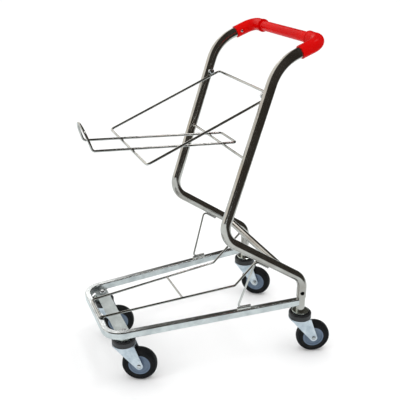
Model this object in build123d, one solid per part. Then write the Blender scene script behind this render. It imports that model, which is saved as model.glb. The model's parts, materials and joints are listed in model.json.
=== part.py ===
"""Two-basket shopping cart: bent side tubes, tapered base frame, hinged upper
basket rack, lower basket rack and four swivel casters. Millimetres, +Z up,
front of the cart towards -Y, +X to the cart's left. The origin lies on the
floor under the middle of the cart's overall box."""
from build123d import *
from math import atan2, cos, hypot, pi, sin, sqrt
import os

os.makedirs("parts", exist_ok=True)

# ---- wheels and casters -------------------------------------------------
WHEEL_R = 51.0            # 4-inch wheels
TYRE_W = 30.0
TYRE_SEAT_R = 31.5
GROOVE_DEPTH = 1.2        # round grooves in the tyre's sidewalls
HUB_W = 26.0
WEB_W = 20.0
BOSS_R = 10.0
SLEEVE_R = 6.5            # bush in the hub
TRAIL = 43.5              # wheel axle behind the swivel axis
AXLE_R = 4.0
AXLE_HEAD_R = 6.5
AXLE_HEAD_H = 3.0
AXLE_NUT_FLATS = 13.0
AXLE_NUT_H = 5.5
RUNNING = 0.07            # radial clearance of every turning fit
PLAY = 0.4                # endwise clearance beside turning parts
FORK_GAP = 35.0           # between the fork's two legs
FORK_T = 2.5
FORK_END_R = 11.0
LEG_TOP_HALF = 31.0       # half width of a leg under the crown
CROWN_Z = 116.5           # underside of the fork crown
CROWN_R = 34.0
KING_PIN_R = 6.0
PIN_HEAD_R = 9.5
PIN_HEAD_H = 6.0
RING_R = 34.0
RING_WALL = 4.0
RING_LIP_R = 27.0         # opening of the guard ring
RING_BOTTOM_Z = CROWN_Z + FORK_T
RING_TOP_Z = 137.0
RACE_R = 25.0
RACE_BOTTOM_Z = 138.5
RACE_TOP_Z = 142.0
BALL_R = 3.5
BALL_CIRCLE_R = 16.0
BALL_COUNT = 12
STEM_NUT_FLATS = 19.0
STEM_NUT_H = 9.0
THREAD_SHOWING = 3.0      # king pin above its nut
PIN_BELOW_NECK = 12.0     # rear king pin's top under the top of the neck
PLUG_BELOW_NECK = 6.0     # plug's top under the top of the neck
BOLT_TIP = 2.0            # axle bolt beyond its nut
CROWN_SEAT_W = 5.0        # ball seat on the crown, outside the ball circle
RACE_DEPTH = 1.0          # how far the balls sit below the race's flat underside
# How far each caster stands turned, in degrees clockwise seen from above.
CASTER_TURN = {"rear_left": 19.0, "rear_right": 40.0, "front_left": 25.0, "front_right": 14.0}

# ---- overall layout, distances ahead of the rear posts --------------------
HALF_TRACK = 190.0        # rear post axis from the centre plane
BASE_LENGTH = 589.5       # rear post axis to the front bar's front face
FRONT_SWIVEL = 532.0      # rear post axis to the front swivel axes
FRONT_SWIVEL_X = 115.0
FRONT_REACH = 592.5       # foremost point of the upper rack
REAR_REACH = -93.5        # hindmost point of the rear wheels
POST_Y = (FRONT_REACH + REAR_REACH) / 2
FRONT_SWIVEL_Y = POST_Y - FRONT_SWIVEL

# ---- side tubes, (y from the post, z) of the centre line's corners -------
TUBE_D = 28.6
TUBE_WALL = 1.5
HANDLE_CORNER = (8.5, 939.5)
UPPER_BEND = (-115.0, 892.0)
LOWER_BEND = (-264.0, 432.0)
POST_BEND = (0.0, 250.0)
UPPER_BEND_R = 115.0
LOWER_BEND_R = 60.0
POST_BEND_R = 55.0
NECK_R = 12.7             # swaged lower end of the post
NECK_TOP_Z = 184.0
CONE_TOP_Z = 190.0
VENT_R = 6.3
VENT_Z = 206.0
VENT_TURN = 73.0          # degrees from the front towards the outer side

# ---- handle ---------------------------------------------------------------
ELBOW_D = 36.0
ELBOW_LEG = 66.0          # corner to the end of the side tube's socket
GRIP_LEG = 62.0           # corner to the end beside the grip
ELBOW_BEND_R = 31.0
ELBOW_BORE = 20.0
SOCKET_DEPTH = 32.0
GRIP_D = 28.6
CORE_D = 22.2
CORE_WALL = 1.5
COLLAR_D = 38.0
COLLAR_W = 5.0
SCREW_FROM_END = 14.0
SCREW_R = 2.0
SCREW_HEAD_R = 4.0
SCREW_HEAD_H = 2.6

# ---- base frame: rectangular tube, falling slightly towards the front -----
RAIL_W = 18.0
RAIL_H = 22.0
RAIL_WALL = 1.5
RAIL_EDGE_R = 3.0
BASE_REAR_Z = 183.0       # top of the rails at the posts
BASE_FRONT_Z = 173.0      # top of the front bar at its inner edge
BASE_REAR_X = 190.0       # rail centre line at the posts
BASE_FRONT_X = 138.0      # rail centre line at the virtual front corner
BASE_CORNER_R = 50.0
PLATE_W = 38.0
PLATE_T = 3.0
PLATE_HALF = 146.0
PLATE_CORNER_R = 8.0

# ---- bars and wires -------------------------------------------------------
CROSSBAR_D = 22.0
CROSSBAR_WALL = 1.5
CROSSBAR_BACK = 70.0      # ahead of the posts, on the diagonals
WIRE_D = 7.0
CROSS_WIRE_D = 6.0
CROSS_WIRE_Y = -334.0
WIRE_BEND_R = 10.0
WELD_DEPTH = 0.2          # how far a wire is sunk into what it is welded on
RACK_FRONT_X = 51.0       # lower rack's legs where they meet the front bar
RACK_KNEE = (80.0, -168.0, 203.0)
STAY_D = 6.0
STAY_FOOT = (-202.0, -162.0)
STAY_HEAD = (-147.0, -106.0)
STAY_BEND_R = 9.0
STAY_INSET = 3.0          # stay's head inwards of the side tube's axis
PAD_W = 9.0               # foot pad between stay and rail
PAD_T = 6.0

# ---- upper basket rack ----------------------------------------------------
LOOP_HALF = 168.0
LOOP_FRONT = (-462.0, 662.0)
LOOP_REAR = (-116.0, 806.0)
CARRIER_HALF = 51.0
CARRIER_REAR = (-160.0, 649.4)
CARRIER_FRONT = (-570.0, 675.6)
LIP_STEM = 14.0
LIP_LEAN = 17.0           # degrees forward of upright
REST_Z = 644.3            # rest rod, between the side tubes
PIVOT_Z = 807.4
BUSH_R = 8.0
BUSH_LENGTH = 8.0
PIVOT_THREAD_R = 3.0
PIVOT_THREAD_L = 10.0
PIVOT_COLLAR_R = 6.0
PIVOT_SHANK_R = 4.0
PIVOT_HEAD_R = 7.0
PIVOT_HEAD_H = 3.5

SIDES = {"left": 1, "right": -1}
GROUND_Y = {"rear": POST_Y, "front": FRONT_SWIVEL_Y}
SWIVEL_X = {"rear": HALF_TRACK, "front": FRONT_SWIVEL_X}


# ---- helpers ---------------------------------------------------------------
def at(x, point):
    """3-D point at x from a (y from the post, z) pair."""
    return Vector(x, POST_Y + point[0], point[1])


def direction(start, end):
    """Unit vector between two (y, z) pairs."""
    length = hypot(end[0] - start[0], end[1] - start[1])
    return (end[0] - start[0]) / length, (end[1] - start[1]) / length


def round_bar(path, diameter):
    """Round solid along a path."""
    line = path.wire() if hasattr(path, "wire") else path
    section = Plane(origin=line @ 0, z_dir=line % 0) * Circle(diameter / 2)
    return sweep(section, path=line)


def rod(start, end, diameter):
    """Straight round bar between two points."""
    start, end = Vector(*start), Vector(*end)
    axis = Plane(origin=start, z_dir=end - start)
    length = (end - start).length
    return axis * Cylinder(diameter / 2, length, align=(Align.CENTER, Align.CENTER, Align.MIN))


def post(radius, low, high):
    """Upright cylinder on the Z axis between two heights."""
    return rod((0, 0, low), (0, 0, high), 2 * radius)


def turned(profile):
    """Solid of revolution about Z from (r, z) corners."""
    face = make_face(Polyline(*[(r, 0, z) for r, z in profile], close=True))
    return revolve(face, axis=Axis.Z)


def hexagon(across_flats, height):
    """Upright hexagonal prism with its foot at z = 0."""
    return extrude(RegularPolygon(across_flats / 2, 6, major_radius=False), height)


def both(shape):
    """A shape and its mirror image across the centre plane, joined."""
    return shape + mirror(shape, about=Plane.YZ)


def pair(shape):
    """A shape and its mirror image as two separate solids."""
    return Compound(children=[shape.solid(), mirror(shape, about=Plane.YZ).solid()])


def save(shape, name):
    """One node per file; a single solid is written bare."""
    solids = shape.solids()
    export_step(solids[0] if len(solids) == 1 else Compound(children=solids), f"parts/{name}.step")


# ---- side tubes -------------------------------------------------------------
def tube_end():
    """Side tube end inside the elbow socket, as a (y, z) pair."""
    back = direction(HANDLE_CORNER, UPPER_BEND)
    reach = ELBOW_LEG - SOCKET_DEPTH
    return HANDLE_CORNER[0] + reach * back[0], HANDLE_CORNER[1] + reach * back[1]


def side_path(x):
    """Centre line of a side tube, from the elbow down to the swaged neck."""
    corners = [tube_end(), UPPER_BEND, LOWER_BEND, POST_BEND, (POST_BEND[0], CONE_TOP_Z)]
    radii = (UPPER_BEND_R, LOWER_BEND_R, POST_BEND_R)
    return FilletPolyline(*[at(x, corner) for corner in corners], radius=radii)


def neck(x, shrink=0.0):
    """Swaged lower end of a post."""
    wide = TUBE_D / 2 - shrink
    narrow = NECK_R - shrink
    return Pos(x, POST_Y, 0) * turned([
        (0, RACE_TOP_Z), (narrow, RACE_TOP_Z), (narrow, NECK_TOP_Z), (wide, CONE_TOP_Z), (0, CONE_TOP_Z)])


def side_outer(x):
    return round_bar(side_path(x), TUBE_D) + neck(x)


def side_inner(x):
    return round_bar(side_path(x), TUBE_D - 2 * TUBE_WALL) + neck(x, TUBE_WALL)


def vent(x):
    """Round hole through the outer front wall of a post."""
    turn = VENT_TURN * pi / 180
    outward = (x / abs(x) * sin(turn), -cos(turn), 0)
    start = Vector(x, POST_Y, VENT_Z)
    return rod(start, start + Vector(*outward) * TUBE_D, 2 * VENT_R)


def pivot_point():
    """(y, z) of the rack's hinge on the side tubes' centre line."""
    share = (PIVOT_Z - LOWER_BEND[1]) / (UPPER_BEND[1] - LOWER_BEND[1])
    return LOWER_BEND[0] + share * (UPPER_BEND[0] - LOWER_BEND[0]), PIVOT_Z


def side_tube(x):
    """Bent steel tube with a vent hole and a threaded hole for the rack's hinge screw."""
    centre = at(x, pivot_point())
    inward = Vector(-x / abs(x) * TUBE_D, 0, 0)
    screw_hole = rod(centre, centre + inward, 2 * PIVOT_THREAD_R)
    return side_outer(x) - side_inner(x) - vent(x) - screw_hole


# ---- handle -----------------------------------------------------------------
def elbow_corner(side):
    return at(side * HALF_TRACK, HANDLE_CORNER)


def elbow_ends(side):
    corner = elbow_corner(side)
    back = direction(HANDLE_CORNER, UPPER_BEND)
    socket_end = corner + Vector(0, back[0], back[1]) * ELBOW_LEG
    grip_end = corner - Vector(side * GRIP_LEG, 0, 0)
    return socket_end, grip_end


def toward(start, end, distance):
    """Point at a distance from start on the way to end."""
    return start + (end - start).normalized() * distance


def elbow(side):
    """Moulded corner piece: a socket for the side tube, one for the core and a collar."""
    corner = elbow_corner(side)
    socket_end, grip_end = elbow_ends(side)
    path = FilletPolyline(socket_end, corner, grip_end, radius=ELBOW_BEND_R)
    body = round_bar(path, ELBOW_D)
    body += rod(toward(grip_end, corner, COLLAR_W), grip_end, COLLAR_D)
    body -= round_bar(path, ELBOW_BORE)
    body -= rod(socket_end, toward(socket_end, corner, SOCKET_DEPTH), TUBE_D)
    body -= rod(grip_end, toward(grip_end, corner, SOCKET_DEPTH), CORE_D)
    return body - elbow_screw(side)


def elbow_screw(side):
    """Pan-head screw through the elbow into the side tube, on the inner face."""
    socket_end, _ = elbow_ends(side)
    seat = toward(socket_end, elbow_corner(side), SCREW_FROM_END)
    inward = Plane(origin=seat, z_dir=(-side, 0, 0))
    head_foot = ELBOW_D / 2 - SCREW_HEAD_H / 4
    shoulder = head_foot + SCREW_HEAD_H / 2
    top = head_foot + SCREW_HEAD_H
    return inward * turned([
        (0, TUBE_D / 2), (SCREW_R, TUBE_D / 2), (SCREW_R, head_foot), (SCREW_HEAD_R, head_foot),
        (SCREW_HEAD_R, shoulder), (SCREW_HEAD_R * 0.6, top), (0, top)])


def handle_core():
    half = HALF_TRACK - GRIP_LEG + SOCKET_DEPTH
    start, end = at(-half, HANDLE_CORNER), at(half, HANDLE_CORNER)
    return rod(start, end, CORE_D) - rod(start, end, CORE_D - 2 * CORE_WALL)


def handle_grip():
    half = HALF_TRACK - GRIP_LEG
    start, end = at(-half, HANDLE_CORNER), at(half, HANDLE_CORNER)
    return rod(start, end, GRIP_D) - rod(start, end, CORE_D)


# ---- base frame ---------------------------------------------------------------
SLOPE = (BASE_REAR_Z - BASE_FRONT_Z) / (BASE_LENGTH - RAIL_W)
BASE_PLANE = Plane(
    origin=(0, POST_Y, BASE_REAR_Z - RAIL_H / 2),
    x_dir=(1, 0, 0),
    z_dir=(0, -SLOPE, 1),
)


def base_top(y):
    """Height of the rails' top face at y from the posts."""
    return BASE_REAR_Z + SLOPE * y


PLATE_TOP_Z = base_top(-FRONT_SWIVEL) - RAIL_H


def base_bar(width, height, edge):
    """Half of the bent frame tube as a solid of the given section, then mirrored."""
    front = -(BASE_LENGTH - RAIL_W / 2)
    path = FilletPolyline((BASE_REAR_X, 0), (BASE_FRONT_X, front), (0, front), radius=BASE_CORNER_R)
    line = path.wire()
    section = Plane(origin=line @ 0, x_dir=(0, 0, 1), z_dir=line % 0)
    half = sweep(section * RectangleRounded(height, width, edge), path=line)
    return BASE_PLANE * both(half)


def base_frame():
    """Rectangular tube bent into a U, its ends coped to fit the posts."""
    tube = base_bar(RAIL_W, RAIL_H, RAIL_EDGE_R)
    tube -= base_bar(RAIL_W - 2 * RAIL_WALL, RAIL_H - 2 * RAIL_WALL, RAIL_EDGE_R - RAIL_WALL)
    for x in (HALF_TRACK, -HALF_TRACK):
        tube -= Pos(x, POST_Y, 0) * post(NECK_R, RACE_TOP_Z, CONE_TOP_Z)
    return tube


def front_plate():
    """Cross plate under the rails that carries the front casters."""
    shape = Pos(0, FRONT_SWIVEL_Y, PLATE_TOP_Z - PLATE_T) * extrude(
        RectangleRounded(2 * PLATE_HALF, PLATE_W, PLATE_CORNER_R), PLATE_T)
    for side in SIDES.values():
        shape -= Pos(side * FRONT_SWIVEL_X, FRONT_SWIVEL_Y, 0) * post(KING_PIN_R, CROWN_Z, BASE_REAR_Z)
    return shape - base_bar(RAIL_W, RAIL_H, RAIL_EDGE_R)


# ---- bars and wires -----------------------------------------------------------
def crossbar_centre():
    share = CROSSBAR_BACK / (POST_BEND[0] - LOWER_BEND[0])
    return -CROSSBAR_BACK, POST_BEND[1] + share * (LOWER_BEND[1] - POST_BEND[1])


def crossbar(outers):
    start, end = at(-HALF_TRACK, crossbar_centre()), at(HALF_TRACK, crossbar_centre())
    return rod(start, end, CROSSBAR_D) - rod(start, end, CROSSBAR_D - 2 * CROSSBAR_WALL) - outers


def rack_front():
    """(y, z) of the lower rack's front segment, lying on the middle of the front bar."""
    y = -(BASE_LENGTH - RAIL_W / 2)
    return y, base_top(y) + WIRE_D / 2 - WELD_DEPTH


def lower_rack():
    """Bent wire: closed at the front, its legs rise to the crossbar."""
    knee_x, knee_y, knee_z = RACK_KNEE
    points = [
        at(0, rack_front()),
        at(RACK_FRONT_X, rack_front()),
        at(knee_x, (knee_y, knee_z)),
        at(knee_x, crossbar_centre()),
    ]
    half = round_bar(FilletPolyline(*points, radius=(WIRE_BEND_R, WIRE_BEND_R)), WIRE_D)
    bar = rod(at(-HALF_TRACK, crossbar_centre()), at(HALF_TRACK, crossbar_centre()), CROSSBAR_D)
    return both(half) - bar - base_bar(RAIL_W, RAIL_H, RAIL_EDGE_R)


def cross_wire():
    """Straight wire butt-welded between the lower rack's two legs."""
    knee_x, knee_y, knee_z = RACK_KNEE
    front_y, front_z = rack_front()
    share = (CROSS_WIRE_Y - knee_y) / (front_y - knee_y)
    half = knee_x + share * (RACK_FRONT_X - knee_x)
    z = knee_z + share * (front_z - knee_z)
    leg = rod(at(RACK_FRONT_X, rack_front()), at(knee_x, (knee_y, knee_z)), WIRE_D)
    wire = rod(at(-half, (CROSS_WIRE_Y, z)), at(half, (CROSS_WIRE_Y, z)), CROSS_WIRE_D)
    return wire - leg - mirror(leg, about=Plane.YZ)


def on_rail(side, y, height):
    """Point above the middle of a side rail, height measured from its top face."""
    x = BASE_REAR_X + y / (BASE_LENGTH - RAIL_W / 2) * (BASE_REAR_X - BASE_FRONT_X)
    return BASE_PLANE.from_local_coords((side * x, y, RAIL_H / 2 + height))


def under_diagonal(side, y):
    """Point on the axis of a stay that lies along a diagonal's underside."""
    along = direction(LOWER_BEND, POST_BEND)
    drop = Vector(0, along[1], -along[0]) * (TUBE_D + STAY_D) / 2
    share = y / (LOWER_BEND[0] - POST_BEND[0])
    z = POST_BEND[1] + share * (LOWER_BEND[1] - POST_BEND[1])
    return at(side * (HALF_TRACK - STAY_INSET), (y, z)) + drop


def stay(side, outers):
    """C-shaped wire from the diagonal's underside down to the pad on the rail."""
    lift = PAD_T + STAY_D / 2 - WELD_DEPTH
    foot = [on_rail(side, y, lift) for y in STAY_FOOT]
    head = [under_diagonal(side, y) for y in STAY_HEAD]
    path = FilletPolyline(foot[1], foot[0], *head, radius=(STAY_BEND_R, STAY_BEND_R))
    return round_bar(path, STAY_D) - outers - stay_pad(side)


def stay_pad(side):
    """Flat pad welded on the rail under a stay's foot."""
    front, back = (on_rail(side, y, 0) for y in STAY_FOOT)
    run = back - front
    foot_plane = Plane(origin=(front + back) / 2, x_dir=run, z_dir=BASE_PLANE.z_dir)
    return foot_plane * extrude(Rectangle(run.length, PAD_W), PAD_T)


def rest_point():
    share = (REST_Z - LOWER_BEND[1]) / (UPPER_BEND[1] - LOWER_BEND[1])
    return LOWER_BEND[0] + share * (UPPER_BEND[0] - LOWER_BEND[0]), REST_Z


def rest_rod(outers):
    """Cross rod on which the folded-down rack rests."""
    return rod(at(-HALF_TRACK, rest_point()), at(HALF_TRACK, rest_point()), WIRE_D) - outers


# ---- upper basket rack ----------------------------------------------------------
def basket_loop():
    """Wide wire loop of the upper rack; its long arms carry the hinge bushes."""
    points = [
        at(0, LOOP_REAR),
        at(LOOP_HALF, LOOP_REAR),
        at(LOOP_HALF, LOOP_FRONT),
        at(0, LOOP_FRONT),
    ]
    return both(round_bar(FilletPolyline(*points, radius=(WIRE_BEND_R, WIRE_BEND_R)), WIRE_D))


def carrier_loop():
    """Narrow loop that carries the basket, its front end arched up as a lip."""
    lean = LIP_LEAN * pi / 180
    up = (-sin(lean), cos(lean))

    def lip(x, rise):
        return at(x, (CARRIER_FRONT[0] + rise * up[0], CARRIER_FRONT[1] + rise * up[1]))

    points = [
        at(0, CARRIER_REAR),
        at(CARRIER_HALF, CARRIER_REAR),
        at(CARRIER_HALF, CARRIER_FRONT),
        lip(CARRIER_HALF, LIP_STEM),
    ]
    run = FilletPolyline(*points, radius=(WIRE_BEND_R, WIRE_BEND_R))
    diagonal = CARRIER_HALF * sqrt(0.5)
    arch = ThreePointArc(
        lip(CARRIER_HALF, LIP_STEM),
        lip(diagonal, LIP_STEM + diagonal),
        lip(0, LIP_STEM + CARRIER_HALF),
    )
    return both(round_bar(Wire(run.edges() + arch.edges()), WIRE_D))


def pivot_bush(side):
    """Bush welded on top of the loop's arm."""
    centre = at(side * LOOP_HALF, pivot_point())
    half = Vector(BUSH_LENGTH / 2, 0, 0)
    bore = rod(centre - half, centre + half, 2 * (PIVOT_SHANK_R + RUNNING))
    return rod(centre - half, centre + half, 2 * BUSH_R) - bore


def pivot_screw():
    """Shoulder screw: thread in the tube wall, collar, shank in the bush, head inside."""
    wall_x = HALF_TRACK - TUBE_D / 2
    collar_end = wall_x - LOOP_HALF - BUSH_LENGTH / 2 - PLAY
    head_foot = wall_x - LOOP_HALF + BUSH_LENGTH / 2 + PLAY
    head_top = head_foot + PIVOT_HEAD_H
    screw = Plane(origin=at(wall_x, pivot_point()), z_dir=(-1, 0, 0))
    return screw * turned([
        (0, -PIVOT_THREAD_L), (PIVOT_THREAD_R, -PIVOT_THREAD_L),
        (PIVOT_THREAD_R, 0), (PIVOT_COLLAR_R, 0),
        (PIVOT_COLLAR_R, collar_end), (PIVOT_SHANK_R, collar_end), (PIVOT_SHANK_R, head_foot),
        (PIVOT_HEAD_R, head_foot), (PIVOT_HEAD_R, head_top - 1.5),
        (PIVOT_HEAD_R - 2, head_top), (0, head_top)])


# ---- casters ---------------------------------------------------------------------
def on_swivel(end, name, shape, turn=0.0):
    """Places a part made about the Z axis on one caster's swivel axis."""
    return Pos(SIDES[name] * SWIVEL_X[end], GROUND_Y[end], 0) * Rot(0, 0, -turn) * shape


def upper_race():
    """Dished bearing plate on the frame; the balls run in its rounded underside."""
    return turned([
        (KING_PIN_R, RACE_BOTTOM_Z), (RACE_R - 4, RACE_BOTTOM_Z), (RACE_R - 2, RACE_BOTTOM_Z - 1.2),
        (RACE_R, RACE_BOTTOM_Z), (RACE_R, RACE_TOP_Z - 1),
        (RACE_R - 1.5, RACE_TOP_Z), (KING_PIN_R, RACE_TOP_Z)])


def king_pin(top_z):
    """Headed pin that holds the fork up against its balls."""
    head_top = CROWN_Z - PLAY
    head_foot = head_top - PIN_HEAD_H
    return turned([
        (0, head_foot), (KING_PIN_R, head_foot),
        (PIN_HEAD_R - 0.5, head_foot + 2.5), (PIN_HEAD_R, head_top),
        (KING_PIN_R, head_top), (KING_PIN_R, top_z - 1), (KING_PIN_R - 1, top_z), (0, top_z)])


def foot_plug():
    """Steel plug in a post's lower end, bored for the king pin."""
    plug_top = NECK_TOP_Z - PLUG_BELOW_NECK
    return post(NECK_R - TUBE_WALL, RACE_TOP_Z, plug_top) - post(KING_PIN_R, RACE_TOP_Z, plug_top)


def balls():
    """Ring of bearing balls under the upper race."""
    seat = RACE_BOTTOM_Z - RACE_DEPTH - BALL_R
    ring = []
    for i in range(BALL_COUNT):
        turn = 2 * pi * i / BALL_COUNT
        place = Pos(BALL_CIRCLE_R * cos(turn), BALL_CIRCLE_R * sin(turn), seat)
        ring.append((place * Sphere(BALL_R)).solid())
    return Compound(children=ring)


def guard_ring():
    """Black thread guard on the crown, round the bearing."""
    inner = RING_R - RING_WALL
    return turned([
        (inner, RING_BOTTOM_Z), (RING_R - 1, RING_BOTTOM_Z), (RING_R, RING_BOTTOM_Z + 1.5),
        (RING_R, RING_TOP_Z - 3), (RING_R - 2.5, RING_TOP_Z), (RING_LIP_R, RING_TOP_Z),
        (RING_LIP_R, RING_TOP_Z - 2.5), (inner, RING_TOP_Z - 3)])


def tangent_point(corner, turn):
    """Where a line from a crown corner touches the leg's round end."""
    dy, dz = corner[0] - TRAIL, corner[1] - WHEEL_R
    spread = atan2(sqrt(dy ** 2 + dz ** 2 - FORK_END_R ** 2), FORK_END_R)
    angle = atan2(dz, dy) - turn * spread
    return TRAIL + FORK_END_R * cos(angle), WHEEL_R + FORK_END_R * sin(angle)


def fork_side_profile():
    """Leg outline in (y, z): wide at the crown, a round end about the axle."""
    front, back = (-LEG_TOP_HALF, RING_BOTTOM_Z), (LEG_TOP_HALF, RING_BOTTOM_Z)
    low_front, low_back = tangent_point(front, -1), tangent_point(back, 1)
    top = Polyline(low_front, front, back, low_back)
    end = ThreePointArc(low_back, (TRAIL, WHEEL_R - FORK_END_R), low_front)
    return make_face(top.edges() + end.edges())


def fork():
    """Pressed steel yoke: bent channel trimmed to the leg outline, crown disc and ball seat."""
    half = FORK_GAP / 2
    low = WHEEL_R - 2 * FORK_END_R
    height = RING_BOTTOM_Z - low
    outer = Pos(0, low + height / 2) * Rectangle(2 * (half + FORK_T), height)
    outer = fillet(outer.vertices().sort_by(Axis.Y)[-2:], FORK_T + 1.5)
    inner = Pos(0, low + (height - FORK_T) / 2) * Rectangle(2 * half, height - FORK_T)
    inner = fillet(inner.vertices().sort_by(Axis.Y)[-2:], 1.5)
    channel = extrude(Plane.XZ * (outer - inner), 2 * CROWN_R, both=True)
    legs = channel & extrude(Plane.YZ * fork_side_profile(), 2 * half, both=True)
    crown = post(CROWN_R, CROWN_Z, RING_BOTTOM_Z)
    seat = post(BALL_CIRCLE_R + CROWN_SEAT_W, RING_BOTTOM_Z, RACE_BOTTOM_Z - RACE_DEPTH - 2 * BALL_R)
    shape = legs + crown + seat - post(KING_PIN_R + RUNNING, CROWN_Z, RACE_TOP_Z)
    return shape - about_axle([(0, -2 * half), (AXLE_R, -2 * half), (AXLE_R, 2 * half), (0, 2 * half)])


def about_axle(profile, side=1):
    """Solid turned about the wheel's axis from (r, x) corners, x outwards."""
    return Plane(origin=(0, TRAIL, WHEEL_R), z_dir=(side, 0, 0)) * turned(profile)


def axle_bolt(side):
    """Round-headed bolt, head on the cart's outer side."""
    half = FORK_GAP / 2 + FORK_T
    tip = -half - AXLE_NUT_H - BOLT_TIP
    return about_axle([
        (0, tip), (AXLE_R, tip), (AXLE_R, half), (AXLE_HEAD_R, half), (AXLE_HEAD_R, half + 1),
        (AXLE_HEAD_R * 0.7, half + AXLE_HEAD_H * 0.85), (0, half + AXLE_HEAD_H)], side)


def axle_nut(side):
    """Hexagon lock nut on the cart's inner side."""
    half = FORK_GAP / 2 + FORK_T
    inward = Plane(origin=(0, TRAIL, WHEEL_R), z_dir=(-side, 0, 0))
    nut = inward * (Pos(0, 0, half) * hexagon(AXLE_NUT_FLATS, AXLE_NUT_H))
    return nut - inward * post(AXLE_R, half, half + AXLE_NUT_H)


def both_sides(half_profile):
    """Closes a profile given for x >= 0 with its mirror image."""
    return half_profile + [(r, -x) for r, x in reversed(half_profile)]


def tyre():
    """Solid rubber tyre: crowned tread and two round grooves in each sidewall."""
    half = TYRE_W / 2
    outline = [(TYRE_SEAT_R, HUB_W / 2), (TYRE_SEAT_R + 1.5, half - 0.8), (TYRE_SEAT_R + 4, half - 0.5)]
    for below_tread in (13.0, 8.0):
        radius = WHEEL_R - below_tread
        outline += [
            (radius, half - 0.2), (radius + 0.8, half - GROOVE_DEPTH),
            (radius + 1.8, half - GROOVE_DEPTH), (radius + 2.6, half)]
    outline += [
        (WHEEL_R - 2.6, half - 3), (WHEEL_R - 1.1, half - 6),
        (WHEEL_R - 0.3, half - 10), (WHEEL_R, 0.5)]
    return about_axle(both_sides(outline))


def hub():
    """Moulded wheel centre: rim, recessed web and a boss between the fork legs."""
    boss_end = FORK_GAP / 2 - 3 * PLAY
    outline = [
        (SLEEVE_R, boss_end), (BOSS_R, boss_end), (BOSS_R + 2, WEB_W / 2),
        (TYRE_SEAT_R - 5.5, WEB_W / 2 + 0.8),
        (TYRE_SEAT_R - 4, HUB_W / 2), (TYRE_SEAT_R, HUB_W / 2)]
    return about_axle(both_sides(outline))


def wheel_bush():
    """Steel sleeve in the hub, turning on the axle bolt."""
    half = FORK_GAP / 2 - PLAY
    return about_axle(both_sides([(AXLE_R + RUNNING, half), (SLEEVE_R, half)]))


# ---- writing the nodes ---------------------------------------------------------------
def write_frame():
    outers = side_outer(HALF_TRACK) + side_outer(-HALF_TRACK)
    for name, side in SIDES.items():
        save(side_tube(side * HALF_TRACK), f"side_tube_{name}")
        save(elbow(side), f"handle_elbow_{name}")
        save(stay(side, outers), f"stay_wire_{name}")
    save(pair(elbow_screw(1)), "handle_screws")
    save(pair(stay_pad(1)), "stay_foot_pads")
    save(handle_core(), "handle_core_tube")
    save(handle_grip(), "handle_grip")
    save(crossbar(outers), "crossbar")
    save(base_frame(), "base_frame_tube")
    save(front_plate(), "front_cross_plate")
    save(lower_rack(), "lower_rack_wire")
    save(cross_wire(), "lower_rack_cross_wire")
    save(rest_rod(outers), "rack_rest_rod")


def write_rack():
    save(basket_loop(), "basket_frame_loop")
    save(carrier_loop(), "basket_carrier_loop")
    for name, side in SIDES.items():
        save(pivot_bush(side), f"pivot_bush_{name}")
    save(pair(pivot_screw()), "pivot_screws")


def write_caster_fixings():
    pin_tops = {
        "rear": NECK_TOP_Z - PIN_BELOW_NECK,
        "front": PLATE_TOP_Z + STEM_NUT_H + THREAD_SHOWING,
    }
    pins = [on_swivel(end, name, king_pin(top)).solid() for end, top in pin_tops.items() for name in SIDES]
    save(Compound(children=pins), "caster_king_pins")
    save(pair(on_swivel("rear", "left", foot_plug())), "post_foot_plugs")
    bore = post(KING_PIN_R, RACE_TOP_Z, BASE_REAR_Z)
    spacer = Pos(0, 0, RACE_TOP_Z) * hexagon(STEM_NUT_FLATS, PLATE_TOP_Z - PLATE_T - RACE_TOP_Z) - bore
    nut = Pos(0, 0, PLATE_TOP_Z) * hexagon(STEM_NUT_FLATS, STEM_NUT_H) - bore
    fixings = [on_swivel("front", name, shape).solid() for name in SIDES for shape in (spacer, nut)]
    save(Compound(children=fixings), "front_stem_nuts")


def write_casters():
    for end in GROUND_Y:
        for name, side in SIDES.items():
            pieces = {
                "upper_race": upper_race(),
                "race_balls": balls(),
                "guard_ring": guard_ring(),
                "fork": fork(),
                "axle_bolt": axle_bolt(side),
                "axle_nut": axle_nut(side),
                "tyre": tyre(),
                "hub": hub(),
                "wheel_bush": wheel_bush(),
            }
            for piece, shape in pieces.items():
                placed = on_swivel(end, name, shape, CASTER_TURN[f"{end}_{name}"])
                save(placed, f"{end}_{name}_{piece}")


write_frame()
write_rack()
write_caster_fixings()
write_casters()
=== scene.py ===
import json
import math
import bpy
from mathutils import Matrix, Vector

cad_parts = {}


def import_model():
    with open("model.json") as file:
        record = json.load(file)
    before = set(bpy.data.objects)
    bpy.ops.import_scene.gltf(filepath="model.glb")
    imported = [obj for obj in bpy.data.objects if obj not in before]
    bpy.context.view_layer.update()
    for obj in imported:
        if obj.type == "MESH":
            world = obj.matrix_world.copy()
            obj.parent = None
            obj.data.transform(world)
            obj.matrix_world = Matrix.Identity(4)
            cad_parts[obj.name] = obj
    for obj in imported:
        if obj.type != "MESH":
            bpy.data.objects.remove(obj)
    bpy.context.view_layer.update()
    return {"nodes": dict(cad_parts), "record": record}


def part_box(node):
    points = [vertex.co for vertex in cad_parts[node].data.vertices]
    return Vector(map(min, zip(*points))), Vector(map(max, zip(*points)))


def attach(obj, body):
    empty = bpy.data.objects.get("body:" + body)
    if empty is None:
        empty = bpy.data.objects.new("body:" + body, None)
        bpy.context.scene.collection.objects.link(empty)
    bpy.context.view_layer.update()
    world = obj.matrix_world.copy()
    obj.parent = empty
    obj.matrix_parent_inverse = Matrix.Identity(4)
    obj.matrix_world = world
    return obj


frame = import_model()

NODES = frame["nodes"]
SCENE = bpy.context.scene
SIDES = (("left", 1), ("right", -1))

# tube sizes in metres, as in the CAD model
TUBE_R = 0.0143
BAR_R = 0.011
WIRE_R = 0.0035
STAY_R = 0.003

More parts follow.
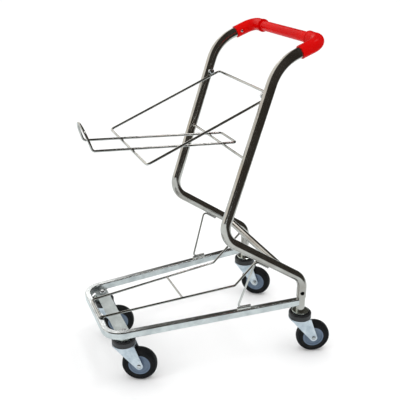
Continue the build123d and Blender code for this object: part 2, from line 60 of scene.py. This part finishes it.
# what bright metal mirrors: a painted reflection on the floor, white that ends at the cart's left
# and rear with painted dark beyond it, which only mirrored rays see, and a dark room with a white
# backdrop at the cart's right and front
FLOOR_REFLECTION_WAY = (1, 0.8, 0)
FLOOR_REFLECTION_EDGE = ((1.0, (0.76, 0.82, 0.83)), (1.3, (0.040, 0.036, 0.030)))
BACKDROP_WAY = (-0.8, -0.6, 0)
BACKDROP_EDGE = ((0.50, (0.045, 0.041, 0.034)), (0.62, (0.92, 0.91, 0.86)))
WORLD_STRENGTH = 1.12
WHITE = (1.0, 1.0, 1.0)
FLOOR_SHADE = (0.93, 0.93, 0.93)
FLOOR_HALF = 12.0

# camera: azimuth and elevation in degrees, place in metres, lens and sensor in millimetres
VIEW = (67.4, 22.8)
EYE = (1.614, -0.6715, 1.203)
LENS = 57.96
SENSOR = 36.0


# ---- node helpers -------------------------------------------------------------
class Nodes:
    """A material's node tree, with the object's own coordinates in metres."""

    def __init__(self, name):
        self.material = bpy.data.materials.new(name)
        self.material.use_nodes = True
        self.tree = self.material.node_tree
        self.shader = next(n for n in self.tree.nodes if n.type == "BSDF_PRINCIPLED")
        self.coords = self.tree.nodes.new("ShaderNodeTexCoord").outputs["Object"]

    def stretched(self, scale):
        node = self.tree.nodes.new("ShaderNodeMapping")
        node.inputs["Scale"].default_value = scale
        self.tree.links.new(self.coords, node.inputs["Vector"])
        return node.outputs["Vector"]

    def noise(self, scale, detail=4.0, stretch=None):
        node = self.tree.nodes.new("ShaderNodeTexNoise")
        node.inputs["Scale"].default_value = scale
        node.inputs["Detail"].default_value = detail
        vector = self.stretched(stretch) if stretch else self.coords
        self.tree.links.new(vector, node.inputs["Vector"])
        return node.outputs["Fac"]

    def cells(self, scale):
        node = self.tree.nodes.new("ShaderNodeTexVoronoi")
        node.inputs["Scale"].default_value = scale
        self.tree.links.new(self.coords, node.inputs["Vector"])
        grey = self.tree.nodes.new("ShaderNodeSeparateColor")
        self.tree.links.new(node.outputs["Color"], grey.inputs["Color"])
        return grey.outputs["Red"]

    def ramp(self, source, stops):
        node = self.tree.nodes.new("ShaderNodeValToRGB")
        elements = node.color_ramp.elements
        while len(elements) < len(stops):
            elements.new(0.5)
        for element, (place, colour) in zip(elements, stops):
            element.position = place
            element.color = (*colour, 1)
        self.tree.links.new(source, node.inputs["Fac"])
        return node.outputs["Color"]

    def spread(self, source, low, high):
        node = self.tree.nodes.new("ShaderNodeMapRange")
        node.inputs["From Min"].default_value = 0.3
        node.inputs["From Max"].default_value = 0.7
        node.inputs["To Min"].default_value = low
        node.inputs["To Max"].default_value = high
        self.tree.links.new(source, node.inputs["Value"])
        return node.outputs["Result"]

    def bump(self, source, strength, distance, below=None):
        node = self.tree.nodes.new("ShaderNodeBump")
        node.inputs["Strength"].default_value = strength
        node.inputs["Distance"].default_value = distance
        self.tree.links.new(source, node.inputs["Height"])
        if below is not None:
            self.tree.links.new(below, node.inputs["Normal"])
        return node.outputs["Normal"]

    def put(self, socket, source):
        self.tree.links.new(source, self.shader.inputs[socket])

    def fix(self, **values):
        for socket, value in values.items():
            self.shader.inputs[socket.replace("_", " ")].default_value = value


# ---- materials ------------------------------------------------------------------
def plated(name, dark, light, rough, grain, tarnish):
    """Bright plated steel: fine grain bumps, cloudy patches and tarnish specks."""
    n = Nodes(name)
    clouds = n.noise(14, 5)
    n.put("Base Color", n.ramp(clouds, ((0.30, dark), (0.55, light), (0.80, tarnish))))
    n.put("Roughness", n.spread(n.noise(60, 6), *rough))
    fine = n.bump(n.noise(900, 3), grain, 0.0002)
    n.put("Normal", n.bump(n.noise(45, 2), grain * 0.6, 0.0006, fine))
    n.fix(Metallic=1.0)
    return n.material


def spangled(name, dark, light, rough, cell, metal):
    """Zinc plate: crystal patches over cloudy colour."""
    n = Nodes(name)
    clouds = n.ramp(n.noise(38, 6), ((0.36, dark), (0.64, light)))
    mix = n.tree.nodes.new("ShaderNodeMix")
    mix.data_type = "RGBA"
    mix.blend_type = "SOFT_LIGHT"
    mix.inputs["Factor"].default_value = 0.35
    n.tree.links.new(clouds, mix.inputs["A"])
    crystals = n.ramp(n.cells(cell), ((0, (0.36, 0.36, 0.36)), (1, (0.64, 0.64, 0.64))))
    n.tree.links.new(crystals, mix.inputs["B"])
    n.put("Base Color", mix.outputs["Result"])
    n.put("Roughness", n.spread(n.noise(85, 5), *rough))
    fine = n.bump(n.noise(1100, 4), 0.06, 0.0002)
    n.put("Normal", n.bump(n.noise(120, 3), 0.08, 0.0004, fine))
    n.fix(Metallic=metal)
    return n.material


def moulded(name, dark, light, rough, grain, grain_scale, shine=0.5):
    """Moulded plastic: slight shade drift, scuffed gloss and a fine skin."""
    n = Nodes(name)
    n.put("Base Color", n.ramp(n.noise(22, 5), ((0.35, dark), (0.65, light))))
    n.put("Roughness", n.spread(n.noise(70, 7, (1, 1, 0.35)), *rough))
    skin = n.bump(n.noise(grain_scale, 3), grain, 0.0003)
    n.put("Normal", n.bump(n.noise(55, 2), grain * 0.5, 0.0008, skin))
    n.fix(Specular_IOR_Level=shine)
    return n.material


def rubber(name):
    """Black tyre rubber with a little floor dust and fine pitting."""
    n = Nodes(name)
    dust = n.noise(48, 8)
    clean, worn, dusty = (0.005, 0.006, 0.007), (0.010, 0.010, 0.011), (0.028, 0.026, 0.023)
    n.put("Base Color", n.ramp(dust, ((0.42, clean), (0.62, worn), (0.80, dusty))))
    n.put("Roughness", n.spread(dust, 0.42, 0.72))
    pits = n.bump(n.noise(700, 4), 0.35, 0.0003)
    n.put("Normal", n.bump(n.noise(90, 4), 0.25, 0.0007, pits))
    n.fix(Specular_IOR_Level=0.15)
    return n.material


MATERIALS = {
    "tube_chrome": plated(
        "tube_chrome", (0.38, 0.35, 0.32), (0.52, 0.50, 0.47),
        (0.07, 0.15), 0.03, (0.44, 0.39, 0.33)),
    "wire_chrome": plated(
        "wire_chrome", (0.40, 0.39, 0.37), (0.58, 0.57, 0.55),
        (0.10, 0.20), 0.03, (0.46, 0.42, 0.37)),
    "rail_zinc": spangled(
        "rail_zinc", (0.50, 0.52, 0.53), (0.66, 0.68, 0.68),
        (0.14, 0.26), 240, 1.0),
    "plate_zinc": spangled(
        "plate_zinc", (0.44, 0.48, 0.47), (0.56, 0.60, 0.59),
        (0.40, 0.56), 300, 0.25),
    "fork_zinc": spangled(
        "fork_zinc", (0.48, 0.54, 0.60), (0.70, 0.75, 0.80),
        (0.26, 0.42), 210, 0.9),
    "race_zinc": spangled(
        "race_zinc", (0.52, 0.58, 0.53), (0.74, 0.78, 0.74),
        (0.12, 0.26), 330, 1.0),
    "fastener_steel": spangled(
        "fastener_steel", (0.46, 0.47, 0.48), (0.68, 0.69, 0.70),
        (0.16, 0.32), 500, 1.0),
    "red_plastic": moulded(
        "red_plastic", (0.52, 0.001, 0.001), (0.60, 0.002, 0.001),
        (0.22, 0.29), 0.02, 800, 0.05),
    "black_plastic": moulded(
        "black_plastic", (0.010, 0.010, 0.011), (0.022, 0.022, 0.024),
        (0.32, 0.50), 0.20, 1200),
    "hub_plastic": moulded(
        "hub_plastic", (0.080, 0.120, 0.180), (0.125, 0.172, 0.240),
        (0.30, 0.46), 0.14, 1000),
    "tyre": rubber("tyre_rubber"),
}
WELD = spangled("weld_metal", (0.48, 0.46, 0.43), (0.78, 0.77, 0.74), (0.16, 0.40), 700, 1.0)

for part in frame["record"]["subparts"]:
    node = NODES[part["node"]]
    for place in node.material_slots:
        place.material = MATERIALS[part["material_slot"]]


# ---- weld beads -----------------------------------------------------------------
BEAD_SIDES = 10
BEAD_R = {
    "crossbar": 0.0019, "rest_rod": 0.0011, "rack_leg": 0.0011, "cross_wire": 0.0008,
    "pad": 0.0012, "bush": 0.0010, "carrier": 0.0009, "rack_front": 0.0010,
}
# points round or along a bead; for the pad, along each of its four sides
BEAD_POINTS = {
    "crossbar": 64, "rest_rod": 40, "rack_leg": 40, "cross_wire": 32,
    "pad": 12, "bush": 10, "carrier": 10, "rack_front": 22,
}
POOL_HEIGHT, POOL_STEP = 0.20, 1.9
WANDER_HEIGHT, WANDER_STEP = 0.10, 0.73
END_SIZE, END_GROWTH = 0.35, 0.3


def ring_shift(verts):
    """How far a closed bead's last ring is turned against its first."""
    last, first = verts[-BEAD_SIDES:], verts[:BEAD_SIDES]
    return min(range(BEAD_SIDES), key=lambda s: (last[0] - first[s]).length)


def bead(name, points, body, closed, thick, seed):
    """Rippled weld bead swept along points; the ripples are the welder's overlapping pools."""
    around = BEAD_SIDES
    count = len(points)
    verts, faces = [], []
    for i, point in enumerate(points):
        before = points[i - 1] if closed or i else points[i]
        after = points[(i + 1) % count] if closed or i < count - 1 else points[i]
        along = (after - before).normalized()
        if i == 0:
            side = along.orthogonal().normalized()
        else:
            side = (side - along * side.dot(along)).normalized()
        up = along.cross(side)
        pool = 1 + POOL_HEIGHT * math.sin(i * POOL_STEP + seed)
        pool += WANDER_HEIGHT * math.sin(i * WANDER_STEP + 2 * seed)
        taper = 1.0 if closed else min(1.0, END_SIZE + min(i, count - 1 - i) * END_GROWTH)
        for k in range(around):
            turn = 2 * math.pi * k / around
            out = side * math.cos(turn) + up * math.sin(turn)
            verts.append(point + out * thick * pool * taper)
    rings = count if closed else count - 1
    shift = ring_shift(verts) if closed else 0
    for i in range(rings):
        a, b = i * around, (i + 1) % count * around
        turn = shift if closed and i == count - 1 else 0
        for k in range(around):
            k2 = (k + 1) % around
            faces.append((a + k, a + k2, b + (k2 + turn) % around, b + (k + turn) % around))
    if not closed:
        faces.append(tuple(reversed(range(around))))
        faces.append(tuple(range(len(verts) - around, len(verts))))
    mesh = bpy.data.meshes.new(name)
    mesh.from_pydata(verts, [], faces)
    mesh.shade_smooth()
    mesh.materials.append(WELD)
    piece = bpy.data.objects.new(name, mesh)
    SCENE.collection.objects.link(piece)
    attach(piece, body)


def saddle(centre, tube_axis, tube_r, bar_axis, bar_r, count):
    """The curve where a round bar meets the outside of a round tube."""
    across = tube_axis.cross(bar_axis).normalized()
    points = []
    for i in range(count):
        turn = 2 * math.pi * i / count
        offset = bar_r * math.sin(turn)
        out = math.sqrt(tube_r ** 2 - offset ** 2)
        along = tube_axis * bar_r * math.cos(turn)
        points.append(centre + bar_axis * out + along + across * offset)
    return points


def run(start, end, count):
    """Evenly spaced points on a straight line."""
    return [start.lerp(end, i / (count - 1)) for i in range(count)]


def pad_outline(side, steps):
    """The line round a stay's foot pad where it meets the rail."""
    verts = NODES["stay_foot_pads"].data.vertices
    corners = {tuple(round(c, 5) for c in v.co) for v in verts if v.co.x * side > 0}
    lowest = sorted(corners, key=lambda c: c[2] - RAIL_SLOPE * c[1])[:4]
    centre = sum((Vector(c) for c in lowest), Vector()) / 4
    loop = sorted((Vector(c) for c in lowest),
                  key=lambda c: math.atan2(c.y - centre.y, c.x - centre.x))
    return [loop[i].lerp(loop[(i + 1) % 4], k / steps) for i in range(4) for k in range(steps)]


def middle(node):
    """The middle of a node's box."""
    low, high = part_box(node)
    return (Vector(low) + Vector(high)) / 2


# directions and places of the welded runs, in metres, as in the CAD model
ACROSS = Vector((1, 0, 0))
DIAGONAL = Vector((0, -0.264, 0.182)).normalized()
UPPER = Vector((0, 0.149, 0.460)).normalized()
RAIL_SLOPE = 0.0175
LEG_HEAD_X = 0.080
LEG_DOWN = Vector((0, -0.098, -0.0953)).normalized()
LEG_RUN = {name: Vector((side * 0.029, 0.4125, 0.0263)).normalized() for name, side in SIDES}
CROSS_WIRE_NOTCH = 0.0018
RACK_FRONT_X = 0.030
BUSH_R = 0.008
ARM = Vector((0, -0.346, -0.144)).normalized()
ARM_UP = Vector((0, -0.144, 0.346)).normalized()
CARRIER = Vector((0, -0.410, 0.0262)).normalized()
CARRIER_X = 0.051

# a straight bead's half length, and how far its middle stands off the joint line
BUSH_HALF, BUSH_OFF, BUSH_RISE = 0.003, 0.0034, 0.0004
CARRIER_HALF, CARRIER_OFF, CARRIER_SINK = 0.003, 0.0031, 0.0002
RACK_HALF, RACK_OFF, RACK_RISE = 0.008, 0.0027, 0.0008


def round_welds(name, side):
    """Beads round the bars that end on a tube, and round the stay's foot pad."""
    inward = Vector((-side, 0, 0))
    tube_x = middle(f"side_tube_{name}").x

    bar = middle("crossbar")
    joint = saddle(Vector((tube_x, bar.y, bar.z)), DIAGONAL, TUBE_R, inward, BAR_R,
                   BEAD_POINTS["crossbar"])
    bead(f"weld_crossbar_{name}", joint, "frame", True, BEAD_R["crossbar"], side)

    rest = middle("rack_rest_rod")
    joint = saddle(Vector((tube_x, rest.y, rest.z)), UPPER, TUBE_R, inward, WIRE_R,
                   BEAD_POINTS["rest_rod"])
    bead(f"weld_rest_rod_{name}", joint, "frame", True, BEAD_R["rest_rod"], side + 2)

    head = Vector((side * LEG_HEAD_X, bar.y, bar.z))
    joint = saddle(head, ACROSS, BAR_R, LEG_DOWN, WIRE_R, BEAD_POINTS["rack_leg"])
    bead(f"weld_rack_leg_{name}", joint, "frame", True, BEAD_R["rack_leg"], side + 4)

    low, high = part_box("lower_rack_cross_wire")
    wire = (low + high) / 2
    end = Vector((side * (high.x + CROSS_WIRE_NOTCH), wire.y, wire.z))
    joint = saddle(end, LEG_RUN[name], WIRE_R, inward, STAY_R, BEAD_POINTS["cross_wire"])
    bead(f"weld_cross_wire_{name}", joint, "frame", True, BEAD_R["cross_wire"], side + 6)

    joint = pad_outline(side, BEAD_POINTS["pad"])
    bead(f"weld_pad_{name}", joint, "frame", True, BEAD_R["pad"], side + 8)


def straight_welds(name, side):
    """Short beads on both sides of a wire that lies along a bush, a wire or the front bar."""
    under_bush = middle(f"pivot_bush_{name}") - ARM_UP * BUSH_R
    loop_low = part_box("basket_frame_loop")[0]
    crossing_y, crossing_z = loop_low.y + WIRE_R, loop_low.z + 2 * WIRE_R - CARRIER_SINK
    rack_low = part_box("lower_rack_wire")[0]
    rack = Vector((side * RACK_FRONT_X, rack_low.y + WIRE_R, rack_low.z))
    for tag, way in (("front", 1), ("rear", -1)):
        nook = under_bush + ARM * way * BUSH_OFF + ARM_UP * BUSH_RISE
        line = run(nook - ACROSS * BUSH_HALF, nook + ACROSS * BUSH_HALF, BEAD_POINTS["bush"])
        bead(f"weld_bush_{tag}_{name}", line, "basket_rack", False, BEAD_R["bush"], side + way)

        crossing = Vector((side * CARRIER_X + way * CARRIER_OFF, crossing_y, crossing_z))
        reach = CARRIER * CARRIER_HALF
        line = run(crossing - reach, crossing + reach, BEAD_POINTS["carrier"])
        bead(f"weld_carrier_{tag}_{name}", line, "basket_rack", False, BEAD_R["carrier"],
             side * way)

        seam = rack + Vector((0, way * RACK_OFF, RACK_RISE))
        line = run(seam - ACROSS * RACK_HALF, seam + ACROSS * RACK_HALF, BEAD_POINTS["rack_front"])
        bead(f"weld_rack_front_{tag}_{name}", line, "frame", False, BEAD_R["rack_front"],
             side + 2 * way)


for name, side in SIDES:
    round_welds(name, side)
    straight_welds(name, side)


# ---- floor, light, camera ----------------------------------------------------------
def mirrored_only(tree, vector, way, stops, plain):
    """A ramp along one way that only mirrored rays see; on a surface it is a painted reflection.
    Everything else sees the plain colour.
    """
    along = tree.nodes.new("ShaderNodeVectorMath")
    along.operation = "DOT_PRODUCT"
    along.inputs[1].default_value = way
    tree.links.new(vector, along.inputs[0])
    ramp = tree.nodes.new("ShaderNodeValToRGB")
    low, high = stops
    for element, position, (_, shade) in zip(ramp.color_ramp.elements, (0, 1), stops):
        element.position = position
        element.color = (*shade, 1)
    span = tree.nodes.new("ShaderNodeMapRange")
    span.inputs["From Min"].default_value = low[0]
    span.inputs["From Max"].default_value = high[0]
    tree.links.new(along.outputs["Value"], span.inputs["Value"])
    tree.links.new(span.outputs["Result"], ramp.inputs["Fac"])
    path = tree.nodes.new("ShaderNodeLightPath")
    mix = tree.nodes.new("ShaderNodeMix")
    mix.data_type = "RGBA"
    mix.inputs["A"].default_value = (*plain, 1)
    tree.links.new(path.outputs["Is Glossy Ray"], mix.inputs["Factor"])
    tree.links.new(ramp.outputs["Color"], mix.inputs["B"])
    return mix.outputs["Result"]


def floor():
    """A plain pale floor; mirrored rays see a painted reflection on it instead, light under and
    round the cart and painted dark further out.
    """
    size = FLOOR_HALF
    corners = [(-size, -size, 0), (size, -size, 0), (size, size, 0), (-size, size, 0)]
    mesh = bpy.data.meshes.new("floor")
    mesh.from_pydata(corners, [], [(0, 1, 2, 3)])
    n = Nodes("floor_pale")
    # painted reflection: mirrored rays see the floor light round the cart and painted dark further
    # out one way
    n.put("Base Color", mirrored_only(n.tree, n.coords, FLOOR_REFLECTION_WAY, FLOOR_REFLECTION_EDGE, FLOOR_SHADE))
    n.fix(Roughness=0.9, Specular_IOR_Level=0.1)
    mesh.materials.append(n.material)
    piece = bpy.data.objects.new("floor", mesh)
    SCENE.collection.objects.link(piece)


def softbox(name, place, target, width, height, power, mirrored=True):
    """A rectangular light, in metres and watts; metal may be kept from mirroring it."""
    data = bpy.data.lights.new(name, "AREA")
    data.shape = "RECTANGLE"
    data.size, data.size_y, data.energy = width, height, power
    lamp = bpy.data.objects.new(name, data)
    SCENE.collection.objects.link(lamp)
    lamp.location = place
    lamp.visible_glossy = mirrored
    lamp.rotation_mode = "QUATERNION"
    lamp.rotation_quaternion = (Vector(target) - Vector(place)).to_track_quat("-Z", "Y")


def world():
    """Even white light from all round, with a dark room for the metal to mirror."""
    made = bpy.data.worlds.new("studio")
    SCENE.world = made
    made.use_nodes = True
    back = made.node_tree.nodes["Background"]
    where = made.node_tree.nodes.new("ShaderNodeTexCoord")
    colour = mirrored_only(made.node_tree, where.outputs["Generated"],
                           BACKDROP_WAY, BACKDROP_EDGE, WHITE)
    made.node_tree.links.new(colour, back.inputs["Color"])
    back.inputs["Strength"].default_value = WORLD_STRENGTH


def camera():
    """The camera, at the photo's viewing angle."""
    azimuth, elevation = (math.radians(turn) for turn in VIEW)
    data = bpy.data.cameras.new("camera")
    data.sensor_width = SENSOR
    data.lens = LENS
    eye = bpy.data.objects.new("camera", data)
    SCENE.collection.objects.link(eye)
    level = math.cos(elevation)
    back = Vector((math.sin(azimuth) * level, -math.cos(azimuth) * level, math.sin(elevation)))
    eye.location = EYE
    eye.rotation_mode = "QUATERNION"
    eye.rotation_quaternion = (-back).to_track_quat("-Z", "Y")
    SCENE.camera = eye


floor()
world()
softbox("key", (0.6, -3.2, 2.4), (0, 0, 0.4), 0.5, 2.0, 16, False)
softbox("bar_light", (-2.6, 0.15, 1.9), (0, -0.3, 0.2), 0.45, 0.45, 1.1)
softbox("top", (0.4, 1.2, 3.4), (0, 0, 0.3), 0.7, 0.7, 12)
camera()
SCENE.view_settings.view_transform = "Standard"
